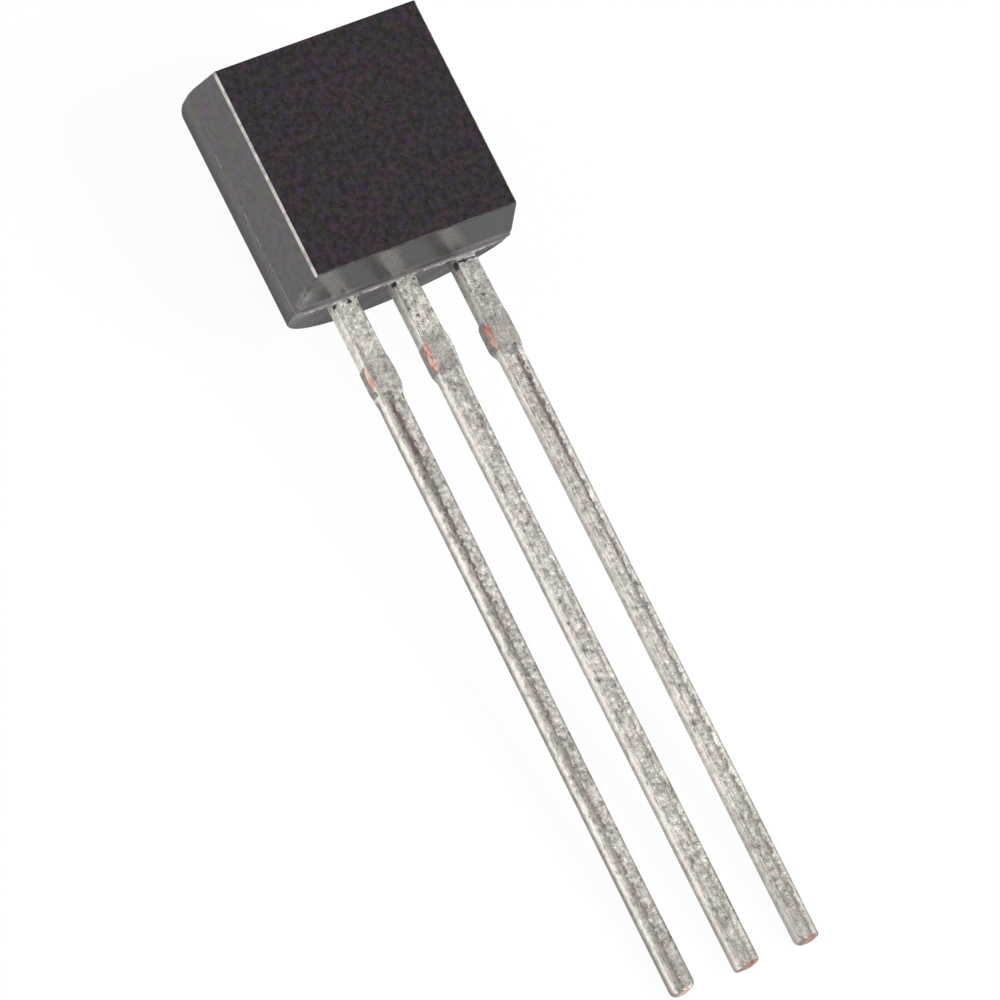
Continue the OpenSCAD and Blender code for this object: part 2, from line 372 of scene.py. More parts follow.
def black_epoxy():
    """Moulding compound: matte and flecked on the flat, glossier on the drafted walls and
    painted paler there as a sheen, duller and painted darker on the round back as shade, worn
    pale along the flat's edges with a painted highlight, and dusty beside the parting line, with
    painted light in front of it."""
    finish = Finish("black_epoxy")
    place = finish.standing()
    x, y, z = finish.axes(place)
    facing = finish.add("ShaderNodeTexCoord", output="Normal")
    facing_x, facing_y = finish.axes(facing)[:2]
    sideways = facing_x.size()
    downwards = 0.0 - facing_y
    under = downwards.step(0.50, 0.85)
    wall = y.step(0.0, 0.05)
    back = y.step(FRONT_DEPTH, FRONT_DEPTH + 0.06)
    far_back = y.step(FRONT_DEPTH, FRONT_DEPTH + 0.65)

    # Flecks: purple and green ones on both, in broader clouds on the walls, where their paler
    # tones add a painted sheen
    grain = finish.noise(place, scale=7.5, detail=5.0, roughness=0.75)
    fine = finish.noise(place, scale=22.0, detail=2.0, roughness=0.6)
    tint = finish.noise(finish.moved(place, (7.3, 1.9, 4.1)), scale=8.0, detail=3.0,
                        roughness=0.7)
    broad = finish.noise(finish.moved(place, (5.5, 2.2, 9.1)), scale=3.4, detail=2.0,
                         roughness=0.6)
    tone = (grain - 0.5) * 5.0 + (fine - 0.5) * 1.5 + 0.5
    hue = (tint - 0.5) * 4.0 + 0.5
    flat = finish.mix(hue, finish.mix(tone, *FLAT_PURPLE), finish.mix(tone, *FLAT_GREEN))
    side = finish.mix(hue + (broad - 0.5) * 5.0,
                      finish.mix(tone, *SHEENED_WALL_PURPLE), finish.mix(tone, *SHEENED_WALL_GREEN))

    # Painted shade: the ends of the front half are darker, most of all the bottom one, apart
    # from two slanting stripes, which are painted light beside the leads' reflections, and its
    # left end
    left_end = x.step(-1.75, -2.05) * (0.28 + 0.20 * y.near(0.62, 0.36, 0.12))
    slant = x - 0.42 * y
    stripes = slant.near(0.52, 0.30, 0.12) + slant.near(-0.76, 0.26, 0.10) * 0.6
    darker = (0.68 - left_end - 0.10 * stripes) * (0.25 + 0.75 * under)
    colour = finish.mix(sideways.step(0.4, 0.8).most(back), finish.mix(darker, side, BLACK),
                        side)
    # Painted shade: the round back darkens away from the front
    colour = finish.mix(far_back * 0.5, colour, BLACK)
    colour = finish.mix(wall, flat, colour)
    warmth = finish.noise(finish.moved(place, (3.1, 8.6, 5.7)), scale=9.0, detail=3.0,
                          roughness=0.7)
    colour = finish.mix(0.9 - 0.55 * wall, colour,
                        finish.mix(warmth.step(0.36, 0.64), *COOL_TO_WARM), "MULTIPLY")

    # The flat's side edges are worn and painted with a highlight, its bottom edge a little, and
    # so is the crease between the left side and the bottom, partly worn and partly painted
    # highlight
    rim = y.step(0.080, 0.050)
    patchy = finish.noise(finish.stretched(place, (4.0, 4.0, 9.0)), scale=1.0, detail=3.0,
                          roughness=0.6)
    upright = sideways.step(0.15, 0.40) * rim * (0.4 + 0.6 * z.step(4.47, 4.30))
    level = downwards.step(0.30, 0.55) * downwards.step(0.99, 0.93) * rim
    worn_and_highlit = upright * (0.55 + 0.45 * patchy.step(0.35, 0.60))
    worn_and_highlit = worn_and_highlit + level * patchy.step(0.30, 0.65) * 0.15
    colour = finish.mix(worn_and_highlit, colour, WORN_AND_HIGHLIT_EDGE)
    from_side = (x + FLAT_WIDTH / 2 + SIDE_TAPER * y).size()
    from_bottom = (z - FRONT_RISE + BOTTOM_SLOPE * y).size()
    crease = (from_side + from_bottom).step(0.20, 0.03)
    crease = crease * y.step(0.40, 0.70) * y.step(FRONT_DEPTH, 1.0)
    colour = finish.mix(crease * (0.10 + 0.36 * tone.most(0.0).least(1.0)), colour,
                        WORN_AND_HIGHLIT_CREASE)

    # On the bottom: painted light in front of the parting line, against the shade there and
    # strongest by the leads, and dusty patches behind it at the ends
    by_leads = x.near(-1.45, 0.55, 0.30) + x.near(0.0, 0.40, 0.15) + x.near(1.60, 0.60, 0.35)
    in_front = y.step(0.92, 1.06) * y.step(1.20, 1.17) * (0.14 + 0.26 * by_leads)
    at_ends = 0.08 + 0.30 * x.step(-1.0, -1.8) + 0.10 * x.step(0.3, 0.7) * x.step(1.5, 1.2)
    behind = y.step(1.17, 1.20) * at_ends * x.step(1.9, 1.4).most(0.3)
    dust_and_light = (in_front + behind) * (1.0 + (grain - 0.5) * 1.5)
    colour = finish.mix(dust_and_light * under, colour, DUST_AND_LIGHT)

    # Flecks of flash dot the parting line on the sides, and run together at its lower end
    seam = y.near(FRONT_DEPTH - 0.004, 0.022, 0.010) * sideways.step(0.6, 0.9)
    dots = finish.noise(finish.stretched(place, (0.3, 0.3, 7.0)), scale=1.0, detail=2.0,
                        roughness=0.6)
    dots = (dots.step(0.50, 0.60) * z.step(3.8, 3.0)).most(z.step(0.9, 0.5) * 0.8)
    colour = finish.mix(seam * dots * 0.6, colour, SEAM_FLECK)

    # Painted shade in the gaps beside the leads
    shadow = mark_shadow(finish, place)
    colour = finish.mix(shadow, colour, HOLLOW_SHADE)
    rough = 0.62 - 0.36 * wall + 0.20 * back + 0.2 * far_back + 0.3 * shadow
    return finish.surface(Base_Color=colour, Roughness=rough.least(1.0),
                          Normal=finish.bump(grain + fine, 0.003), Specular_IOR_Level=0.22)


FLASH_GRAIN = ((0.10, 0.085, 0.09, 1), (0.43, 0.395, 0.375, 1))
FLASH_PURPLE = (0.29, 0.235, 0.28, 1)
FLASH_PALE = (0.62, 0.57, 0.56, 1)
FLASH_ROOT = (0.13, 0.12, 0.12, 1)


def pale_flash():
    """The thin fin of compound left along the mould's parting line: grainy, palest beside the
    right lead, and dark at its root."""
    finish = Finish("pale_flash")
    place = finish.standing()
    x, low = finish.axes(place)[::2]
    grain = finish.noise(place, scale=14.0, detail=3.0, roughness=0.6)
    tint = finish.noise(finish.moved(place, (2.7, 5.1, 3.3)), scale=9.0)
    colour = finish.mix(grain.step(0.36, 0.60), *FLASH_GRAIN)
    colour = finish.mix(tint.step(0.50, 0.62) * 0.6, colour, FLASH_PURPLE)
    right = x.step(1.35, 1.55) * x.step(2.15, 1.90)
    colour = finish.mix(right * 0.4, colour, FLASH_PALE)
    low = low + (grain - 0.5) * 0.04
    colour = finish.mix(low.step(-0.036, -0.022), colour, FLASH_ROOT)
    # Painted shade in the gaps beside the leads, on the fin too
    colour = finish.mix(mark_shadow(finish, place), colour, HOLLOW_SHADE)
    return finish.surface(Base_Color=colour, Roughness=0.6, Specular_IOR_Level=0.4)


# Plating: tin at its palest, the hues that multiply it, the painted shade of its dark streak,
# and what shows where it is sheared or cut away
TIN = (1.0, 0.945, 0.875, 1)
TIN_HUES = ((0.86, 1.0, 0.93, 1), (1.0, 0.88, 0.94, 1))
STREAK = (0.095, 0.066, 0.071, 1)
COPPER = ((0.72, 0.17, 0.10, 1), (1.0, 0.70, 0.60, 1))
BREAK_GREY = ((0.10, 0.088, 0.080, 1), (0.42, 0.38, 0.35, 1))
TIP_COPPER = ((0.24, 0.11, 0.09, 1), (0.56, 0.33, 0.26, 1))


class Plating:
    """The finish of one lead. It holds how far a place lies across the lead from its centre,
    how deep it lies behind the front, which part of the lead it is on, from 0 to 1, how far it
    lies from the streak, and the noises that wear the lead, which stand about 0."""

    def __init__(self, lead):
        self.lead = lead
        self.finish = finish = Finish(lead.name + "_tin")
        self.place = finish.standing()
        x, y, self.z = finish.axes(self.place)
        lean = math.tan(math.radians(lead.lean))
        self.across = x - lead.centre - lean * (self.z + STUB_END).least(0.0)
        self.deep = y - FRONT_DEPTH
        self.front = self.deep.step(0.08, 0.04)
        self.flank = self.across.size().step(0.15, 0.19) * self.deep.step(0.03, 0.08)
        self.stub = self.z.step(-STUB_START + 0.30, -STUB_START - 0.10)
        self.stub = self.stub * self.z.step(-STUB_END - 0.15, -STUB_END)
        self.tail = self.z.step(-STUB_END, -STUB_END - 0.15)

        self.here = finish.moved(self.place,
                                 (lead.seed * 3.1, lead.seed * 1.7, lead.seed * 5.3))
        self.mottle = self.wear(11.0, detail=4.0, roughness=0.65)
        self.drawn = self.wear(1.0, stretch=(17.0, 17.0, 4.5), detail=3.0, roughness=0.6)
        self.cloud = self.wear(2.6)
        self.wander = self.wear(8.0, detail=3.0, roughness=0.6) * 0.10
        self.drag = self.wear(1.0, stretch=(7.0, 12.0, 7.0))
        self.pits = self.pitting()
        where, drift, self.width = lead.streak[:3]
        line = self.across - where - drift * (self.z + STUB_END)
        self.from_streak = line + (self.drawn + self.mottle) * self.width * 1.5

    def wear(self, scale, stretch=(1, 1, 1), detail=2.0, roughness=0.5):
        """Noise about 0, stretched along the axes."""
        place = self.finish.stretched(self.here, stretch)
        return self.finish.noise(place, scale, detail, roughness) - 0.5

    def pitting(self):
        """1 in a pit: the middle of some of the cells of a cell pattern."""
        finish = self.finish
        cells = finish.add("ShaderNodeTexVoronoi", None,
                           {"Vector": finish.stirred(self.here, scale=16.0, reach=0.04),
                            "Scale": 6.0}, "Distance")
        chosen = finish.axes(finish.part(cells, "Color"))[0].step(0.40, 0.36)
        return cells.step(0.24, 0.08) * chosen

    def tone(self):
        """How pale the tin is, with painted light and shade in it. The lead gives it for the
        face of its neck, stub and tail, lighter or darker as light falls on that lead, and for
        the near and far half of the neck's flanks and of the tail's, the far half painted darker
        as shade."""
        near_neck, far_neck, near_tail, far_tail = self.lead.flank
        neck, stub, tail = self.lead.face
        near = near_neck + self.tail * (near_tail - near_neck)
        far = far_neck + self.tail * (far_tail - far_neck)
        face = neck + self.stub * (stub - neck) + self.tail * (tail - neck)
        flank = near + self.deep.step(0.10, 0.27) * (far - near)
        tone = face + self.flank * (flank - face)
        return tone * (1.0 - 0.15 * self.z.step(-10.5, -13.2))

    def pattern(self):
        """Mottle and drawing lines, weaker on the stub, on the flanks and at the tip."""
        pattern = self.mottle * 2.6 + self.drawn * (1.2 - 0.5 * self.flank)
        pattern = pattern * (1.0 - 0.4 * self.stub) * (1.0 - 0.35 * self.flank) + self.cloud
        return pattern * (1.0 - 0.45 * self.z.step(-13.0, -13.8))

    def highlights(self):
        """Painted highlights: a paler line beside the streak, one along the neck's rolled left
        rim, and a glint on the stub's right edge."""
        z, lead = self.z, self.lead
        ridge = self.from_streak.near(0.08, 0.05, 0.015) * self.tail * self.front
        rim_at = -0.165 - 0.07 * z.step(-0.65, -0.95)
        rim = (self.across + self.wander * 0.6).near(rim_at, 0.045, 0.012)
        rim = rim * self.deep.step(0.14, 0.08) * z.step(-1.25, -1.15)
        rim = rim * (0.6 + 0.4 * z.step(-0.5, -0.9))
        glint = self.across.near(0.222, 0.035, 0.012) * self.stub
        return ridge * lead.ridge + rim * lead.rim + glint * lead.glint

    def streak(self):
        """How strongly the dark streak, painted shade along the front's shallow groove, shows:
        down the tail's front from the stub, narrower and more broken further down, and fading
        towards the tip."""
        z, lead = self.z, self.lead
        start = (z + self.cloud * 1.2).step(-STUB_END + 0.12, -STUB_END - 0.15)
        wide = self.width * (1.0 - 0.4 * z.step(-3.0, -5.0))
        line = (self.from_streak + self.wander * 0.4).size().step(wide, wide * 0.1)
        broken = (self.mottle * 5.0 + self.cloud * 3.0 + 0.80).most(0.12).least(1.0)
        solid = 0.30 + lead.solid * z.step(-6.0, -3.2)
        streak = line * start * self.front * (solid + (1.0 - solid) * broken)
        streak = streak * lead.streak[3] * (1.0 - lead.fade * z.step(-3.0, -12.5))
        return streak.least(1.0)

    def tarnished(self, copper):
        """Copper, turned towards the lead's own tarnish."""
        return self.finish.mix(self.lead.tarnish[0], copper, self.lead.tarnish[1])

    def torn(self):
        """1 on the back of a sheared flank, where the metal broke, and nearer to the front at
        the flank's two ends."""
        ends = (self.z + (STUB_START + STUB_END) / 2).size().step(0.12, 0.32)
        return (self.deep + self.wander * 1.5 + 0.10 * ends).step(0.17, 0.23)

    def sheared(self):
        """1 on the stub's flanks, where the bar beside them was sheared off."""
        left, right = self.lead.stub
        middle, half = (left + right) / 2, (right - left) / 2
        sheared = (middle - self.across).step(half - 0.022, half - 0.012)
        sheared = sheared.most((self.across - middle).step(half - 0.006, half))
        ragged = self.z + self.wander
        sheared = sheared * ragged.step(-STUB_START - 0.01, -STUB_START - 0.05)
        return sheared * ragged.step(-STUB_END - 0.04, -STUB_END + 0.01)

    def cut_tip(self):
        """1 on the cut tip, apart from its left and its back edge, where tin is smeared over."""
        tip = -self.lead.length
        smear = self.lead.smear
        cut = (self.z + self.wander * 0.2).step(tip + 0.055, tip + 0.03)
        cut = cut * (self.across + self.cloud * 0.2).step(smear, smear + 0.05)
        return cut * (self.deep + self.wander * 0.5).step(0.42, 0.36)


def tin_plate(lead):
    """Matte tin over copper: mottled, pitted and drawn along the lead, painted darker on the
    back half of its flanks as shade, with painted highlights on its edges and beside the streak,
    and a dark streak of painted shade down its front. The stub's flanks are sheared: tin rolled
    over the front edge, then bare copper, then a dark break. The cut tip is copper."""
    tin = Plating(lead)
    finish = tin.finish
    value = tin.tone() * (1.0 + tin.pattern() + tin.highlights()) * (1.0 - 0.22 * tin.pits)
    colour = finish.mix(value, BLACK, TIN)
    tint = finish.noise(finish.moved(tin.here, (4.4, 8.2, 1.3)), scale=14.0, roughness=0.6)
    colour = finish.mix(0.55, colour, finish.mix(tint.step(0.40, 0.60), *TIN_HUES), "MULTIPLY")
    # Painted shade: the dark streak along the front's shallow groove
    colour = finish.mix(tin.streak(), colour, STREAK)

    sheared, torn = tin.sheared(), tin.torn()
    bare = (tin.deep + tin.wander).step(lead.rolled, lead.rolled + 0.04)
    copper = tin.tarnished(finish.mix(tin.drag.step(-0.12, 0.12), *COPPER))
    grey = finish.mix(tin.mottle * 2.0 + 0.5, *BREAK_GREY)
    colour = finish.mix(sheared * bare, colour, finish.mix(torn, copper, grey))
    copper = tin.tarnished(finish.mix(tin.drag.step(-0.20, 0.20), *TIP_COPPER))
    colour = finish.mix(tin.cut_tip(), colour, copper)

    # Painted shade in the gaps and pits by this lead
    shadow = mark_shadow(finish, tin.place, lead.centre, reach=0.5)
    colour = finish.mix(shadow, colour, HOLLOW_SHADE)
    metal = (1.0 - 0.8 * sheared * torn) * (1.0 - shadow)
    return finish.surface(Base_Color=colour, Metallic=metal,
                          Roughness=0.42 + 0.3 * tin.mottle + 0.2 * tin.pits,
                          Normal=finish.bump(tin.mottle + tin.drawn - tin.pits * 0.5, 0.010))


def speckled(name, scale, detail, colours, rough, varies, metallic):
    """A plain finish whose colour and roughness vary with one noise."""
    finish = Finish(name)
    speck = finish.noise(finish.standing(), scale, detail)
    return finish.surface(Base_Color=finish.mix(speck, *colours), Metallic=metallic,
                          Roughness=rough + varies * speck)


def die_silicon():
    """Polished silicon."""
    return speckled("die_silicon", scale=30.0, detail=2.0, rough=0.2, varies=0.1, metallic=0.0,
                    colours=((0.08, 0.09, 0.14, 1), (0.16, 0.17, 0.24, 1)))


def solder_pad():
    """Dull solder that wets the flag under the die."""
    return speckled("solder_pad", scale=22.0, detail=3.0, rough=0.35, varies=0.2, metallic=1.0,
                    colours=((0.42, 0.42, 0.43, 1), (0.66, 0.66, 0.67, 1)))


def gold_wire():
    """Drawn bond wire."""
    return speckled("gold_wire", scale=40.0, detail=2.0, rough=0.22, varies=0.1, metallic=1.0,
                    colours=((0.80, 0.52, 0.18, 1), (0.95, 0.68, 0.28, 1)))


# ---------------------------------------------------------------- surfaces

def skin(name, rings, looped=False):
    """A closed surface through rings of standing points: each ring joins the next, and the
    ends are capped, or joined to each other when looped. Points that meet are merged, and the
    faces are turned outwards."""
    count, around = rings.shape[:2]
    index = np.arange(count * around).reshape(count, around)
    near = index if looped else index[:-1]
    far = np.roll(index, -1, 0) if looped else index[1:]
    quads = np.stack([near, np.roll(near, -1, 1), np.roll(far, -1, 1), far], -1)
    faces = quads.reshape(-1, 4).tolist()
    if not looped:
        faces += [index[0, ::-1].tolist(), index[-1].tolist()]
    mesh = bpy.data.meshes.new(name)
    mesh.from_pydata(laid(rings).reshape(-1, 3).tolist(), [], faces)
    tidy_mesh(mesh)
    piece = bpy.data.objects.new(name, mesh)
    bpy.context.scene.collection.objects.link(piece)
    return piece


def tidy_mesh(mesh, merge=0.0002):
    """Merges the points that meet, drops faces with no area and turns the rest outwards."""
    work = bmesh.new()
    work.from_mesh(mesh)
    bmesh.ops.remove_doubles(work, verts=work.verts, dist=merge * MM)
    bmesh.ops.dissolve_degenerate(work, edges=work.edges, dist=merge * MM)
    bmesh.ops.recalc_face_normals(work, faces=work.faces)
    work.to_mesh(mesh)
    work.free()


def shade(piece, crease):
    """Smooth shading, with the edges that turn by more than the crease angle left sharp."""
    piece.data.shade_smooth()
    piece.data.set_sharp_from_angle(angle=math.radians(crease))


def carve(piece, cutters):
    """Cuts the shapes of other pieces out of a piece, and removes them."""
    for cutter in cutters:
        cut = piece.modifiers.new("cut", "BOOLEAN")
        cut.operation = "DIFFERENCE"
        cut.solver = "EXACT"
        cut.object = cutter
    bpy.context.view_layer.update()
    graph = bpy.context.evaluated_depsgraph_get()
    carved = bpy.data.meshes.new_from_object(piece.evaluated_get(graph))
    piece.modifiers.clear()
    piece.data = carved
    for cutter in cutters:
        bpy.data.objects.remove(cutter)
    tidy_mesh(piece.data)


def fit_out(piece, slot, finish, *nodes):
    """Gives a piece its finish, its body and the nodes it stands for; its slot is not used."""
    piece.data.materials.clear()
    piece.data.materials.append(finish)
    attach(piece, "root")
    if nodes:
        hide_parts(*nodes)


def rise(distance, over):
    """0 up to no distance, 1 from the distance over, and a straight rise between them."""
    return np.clip(distance / over, 0, 1)


# ---------------------------------------------------------------- moulding

def wall_rounding(start, slope, radius, steps=12):
    """The round between the flat and a wall that leans out by slope degrees: the arc of that
    radius that touches both. Returns how far out and how deep its points lie."""
    lean = math.radians(slope)
    centre = start - radius * (1 - math.sin(lean)) / math.cos(lean)
    turn = np.linspace(-math.pi / 2, -lean, steps + 1)
    return centre + radius * np.cos(turn), radius + radius * np.sin(turn)


def moulding_rings(margin=0.03, spare=0.02, back_steps=60, corner_steps=6):
    """Rings from the flat to the back. Each is the body's upright section at one depth: a
    rectangle between its side walls, bottom and top, with its corners rounded or cut. The
    first ring lies in the flat, a margin inside its edges."""
    taper = math.degrees(math.atan(SIDE_TAPER))
    side, side_depth = wall_rounding(FLAT_WIDTH / 2, taper, SIDE_ROUND)
    low, low_depth = wall_rounding(-FRONT_RISE, BOTTOM_DRAFT, END_ROUND)
    high, high_depth = wall_rounding(BODY_HEIGHT - FRONT_FALL, TOP_DRAFT, END_ROUND)
    front = np.concatenate([[0.065, 0.1, 0.5, 0.85], np.linspace(0.905, FRONT_DEPTH, 7)])
    share = front / FRONT_DEPTH
    turn = np.linspace(0, math.pi / 2, back_steps + 1)[1:]
    side = np.concatenate([[side[0] - margin], side, FLAT_WIDTH / 2 + SIDE_TAPER * front,
                           BACK_RADIUS * np.cos(turn)])
    low = np.concatenate([[low[0] - margin], low, -FRONT_RISE * (1 - share),
                          -BACK_RISE * np.sin(turn)])
    high = np.concatenate([[high[0] - margin], high, BODY_HEIGHT - FRONT_FALL * (1 - share),
                           BODY_HEIGHT - BACK_RISE * np.sin(turn)])
    rest = np.concatenate([front, FRONT_DEPTH + BACK_RADIUS * np.sin(turn)])
    side_depth, low_depth, high_depth = (np.concatenate([[0], depth, rest])[:, None]
                                         for depth in (side_depth, low_depth, high_depth))
    bottom = -low
    reach = BODY_WIDTH / 2 - CORNER_CUT
    soft = np.minimum(SOFT_CORNER, side)
    low_leg = np.maximum(soft, side - bottom - reach)
    high_leg = np.maximum(soft, side - (BODY_HEIGHT - high) - reach)

    arc = np.linspace(0, math.pi / 2, corner_steps + 1)
    out = np.concatenate([[0.0], np.sin(arc), [1.0]])
    up = np.concatenate([[0.0], 1 - np.cos(arc), [1.0]])
    past_x = np.where(np.arange(len(out)) == 0, spare, 0.0)
    past_z = past_x[::-1]

    def corner(sign_x, end, leg, end_depth, turn_up):
        """Points round one corner, and a spare one a little way along each wall."""
        level, leg = side[:, None], leg[:, None]
        x = level - leg * (1 - out) - np.minimum(past_x, level - leg)
        y = end_depth * (1 - up) + side_depth * up
        z = end[:, None] + turn_up * (leg * up + past_z)
        return np.stack([sign_x * x, y, z], -1)

    low_right = corner(1, bottom, low_leg, low_depth, 1)
    high_right = corner(1, high, high_leg, high_depth, -1)
    low_left = corner(-1, bottom, low_leg, low_depth, 1)
    high_left = corner(-1, high, high_leg, high_depth, -1)
    return np.concatenate([low_right, high_right[:, ::-1], high_left, low_left[:, ::-1]], 1)


def make_moulding():
    """The moulding, in one piece."""
    body = skin("moulding", moulding_rings())
    shade(body, crease=8.4)
    fit_out(body, "epoxy", black_epoxy(), "moulded_body")


def parting_outline(spacing=0.02):
    """Points round the parting outline, each with its distance round and its outward
    direction, in X and Z: a rectangle with its corners cut."""
    w, h, c = BODY_WIDTH / 2, BODY_HEIGHT, CORNER_CUT
    knots = np.array([(-w + c, 0), (w - c, 0), (w, c), (w, h - c), (w - c, h), (-w + c, h),
                      (-w, h - c), (-w, c), (-w + c, 0)])
    run = np.concatenate([[0], np.cumsum(np.hypot(*np.diff(knots, axis=0).T))])
    at = np.linspace(0, run[-1], int(run[-1] / spacing), endpoint=False)
    points = np.stack([np.interp(at, run, knots[:, 0]), np.interp(at, run, knots[:, 1])], -1)
    ahead = np.roll(points, -2, 0) - np.roll(points, 2, 0)
    ahead /= np.linalg.norm(ahead, axis=1)[:, None]
    return points, at, np.stack([ahead[:, 1], -ahead[:, 0]], -1)


def ragged(at, grain, seed):
    """Noise from 0 to 1 along a line: seeded random heights every grain, joined smoothly."""
    picks = np.random.default_rng(seed).random(int(at[-1] / grain) + 3)
    cell = at / grain
    part = cell - np.floor(cell)
    low = np.floor(cell).astype(int)
    return picks[low] + (picks[low + 1] - picks[low]) * part * part * (3 - 2 * part)


# How far the fin's edge stands out of the parting outline on the sides, what the top and the
# bottom add, what the bottom's noise adds at most, what a lead adds, and where its root lies
FIN_SIDE = -0.004
FIN_TOP = 0.01
FIN_BOTTOM = 0.040
FIN_VARIES = 0.044
FIN_OVER_LEAD = 0.01
FIN_ROOT = -0.03


def make_flash():
    """The fin along the parting line: a thin wedge carried round the outline. It is ragged
    along the bottom, lower at its right end, tallest where it runs over the leads and flush on
    the sides, and it fills out the lower right corner."""
    points, at, out = parting_outline()
    x, z = points.T
    bottom = (z < TINY) * rise(2.2 - np.abs(x), 0.1)
    top = (z > BODY_HEIGHT - TINY) * rise(2.1 - np.abs(x), 0.2)
    rough = 0.6 * ragged(at, 0.11, 4) + 0.4 * ragged(at, 0.045, 5)
    over = sum(rise(0.31 - np.abs(x - centre - 0.02), 0.08) for centre in (-PITCH, 0.0, PITCH))
    lower = 1 - 0.6 * rise(x - 1.4, 0.7)
    height = FIN_SIDE + FIN_TOP * top + bottom * (FIN_BOTTOM + FIN_VARIES * rough) * lower
    height = height + bottom * over * FIN_OVER_LEAD * (1 + rough)
    nib = (1 - np.abs(2 * z / CORNER_CUT - 1)).clip(0)
    height = height + np.where(x > 0, nib * (2 - nib) * 0.5 * CORNER_CUT, 0)
    root = np.full_like(height, FIN_ROOT)
    rows = [(root, -0.020), (height, -0.012), (height, 0.002), (root, 0.012)]
    widest = BODY_WIDTH / 2
    rings = [np.stack([(x + out[:, 0] * far).clip(-widest, widest),
                       np.full_like(x, FRONT_DEPTH + side),
                       z + out[:, 1] * far], -1) for far, side in rows]
    fin = skin("parting_flash", np.stack(rings, 1), looped=True)
    shade(fin, crease=30)
    fit_out(fin, "epoxy", pale_flash())


# ---------------------------------------------------------------- leads

class Lead:
    """One lead, and how its own trimming, plating and wear came out. Edges are millimetres
    across from its centre, and heights are negative below the moulding. Its shape is given by:
    - centre, lean, length: its place, its tail's lean to the left in degrees, and its length
    - neck, stub: the neck's left edge, and the stub's left and right ones
    - burr: how far the stub's left edge is dragged out at its back
    - stub_foot: the height at which the stub ends
    - left, right: heights and edges down the lead
    - corners: the radius of the tip's left and right corner
    Its finish is given by:
    - streak: where it starts, how it drifts per millimetre, its width and its strength
    - fade, solid: how far it fades out towards the tip, and how unbroken it starts
    - tarnish: how far the copper has turned to another colour
    - rolled: how deep the tin is rolled over the stub's flanks
    - ridge, rim, glint: the strength of each painted highlight
    - smear: the place across up to which tin covers the cut tip
    - face: the tone of the front of the neck, stub and tail, painted lighter or darker as light
      falls on the lead
    - flank: the tone of the flanks, near and far on the neck, then near and far on the tail,
      with the far half darker as painted shade"""

    def __init__(self, **facts):
        vars(self).update(facts)


LEADS = (
    Lead(name="emitter", node="emitter_lead", centre=-PITCH, lean=0.3, length=14.13, seed=1,
         neck=-0.216, stub=(-0.217, 0.278), burr=-0.018, stub_foot=-1.86,
         left=((-2.0, -0.226), (-2.8, -0.2328), (-4.8, -0.2243), (-14, -0.2225)),
         right=((0.0, 0.238), (-0.9, 0.247), (-1.22, 0.249), (-1.35, 0.266), (-1.6, 0.280),
                (-1.88, 0.276), (-2.03, 0.2195), (-3, 0.2175), (-5, 0.2135), (-7, 0.2055),
                (-9, 0.194), (-12, 0.1945), (-14, 0.205)),
         corners=(0.12, 0.14),
         streak=(-0.086, 0.0, 0.105, 0.96), fade=0.30, solid=0.10,
         tarnish=(0.42, (0.74, 0.62, 0.53, 1)), rolled=0.032,
         ridge=0.0, rim=0.0, glint=0.0, smear=-0.13,
         face=(0.435, 0.345, 0.375), flank=(0.85, 0.74, 1.06, 0.32)),
    Lead(name="collector", node="collector_lead", centre=0.0, lean=0.0, length=14.13, seed=2,
         neck=-0.228, stub=(-0.228, 0.262), burr=-0.014, stub_foot=-1.93,
         left=((-2.0, -0.216), (-2.8, -0.2228), (-4.8, -0.2105), (-7.5, -0.217), (-14, -0.219)),
         right=((0.0, 0.222), (-0.5, 0.226), (-1.0, 0.231), (-1.22, 0.240), (-1.35, 0.262),
                (-1.65, 0.262), (-1.85, 0.240), (-2.03, 0.232), (-3, 0.2255), (-4, 0.2175),
                (-5, 0.206), (-6, 0.2135), (-8, 0.2145), (-10, 0.2215), (-14, 0.2215)),
         corners=(0.06, 0.08),
         streak=(0.082, 0.0042, 0.065, 0.50), fade=0.0, solid=0.0,
         tarnish=(0.24, (0.14, 0.07, 0.06, 1)), rolled=-0.02,
         ridge=0.10, rim=0.35, glint=0.6, smear=-0.17,
         face=(0.43, 0.295, 0.42), flank=(0.745, 0.42, 1.05, 0.45)),
    Lead(name="base", node="base_lead", centre=PITCH, lean=-0.15, length=14.11, seed=3,
         neck=-0.200, stub=(-0.200, 0.264), burr=-0.055, stub_foot=-1.93,
         left=((-2.0, -0.190), (-2.8, -0.187), (-4.8, -0.1795), (-7.5, -0.179),
               (-10.5, -0.191), (-13, -0.203)),
         right=((0.0, 0.226), (-0.5, 0.236), (-1.0, 0.242), (-1.22, 0.250), (-1.35, 0.260),
                (-1.84, 0.260), (-2.0, 0.236), (-2.4, 0.2375), (-4, 0.2335), (-6, 0.2175),
                (-9, 0.2095), (-11.5, 0.2175), (-14, 0.201)),
         corners=(0.13, 0.05),
         streak=(0.054, 0.001, 0.072, 1.0), fade=0.38, solid=0.36,
         tarnish=(0.46, (0.30, 0.21, 0.19, 1)), rolled=0.005,
         ridge=0.30, rim=0.6, glint=0.0, smear=-0.17,
         face=(0.355, 0.28, 0.415), flank=(0.57, 0.355, 0.81, 0.53)),
)


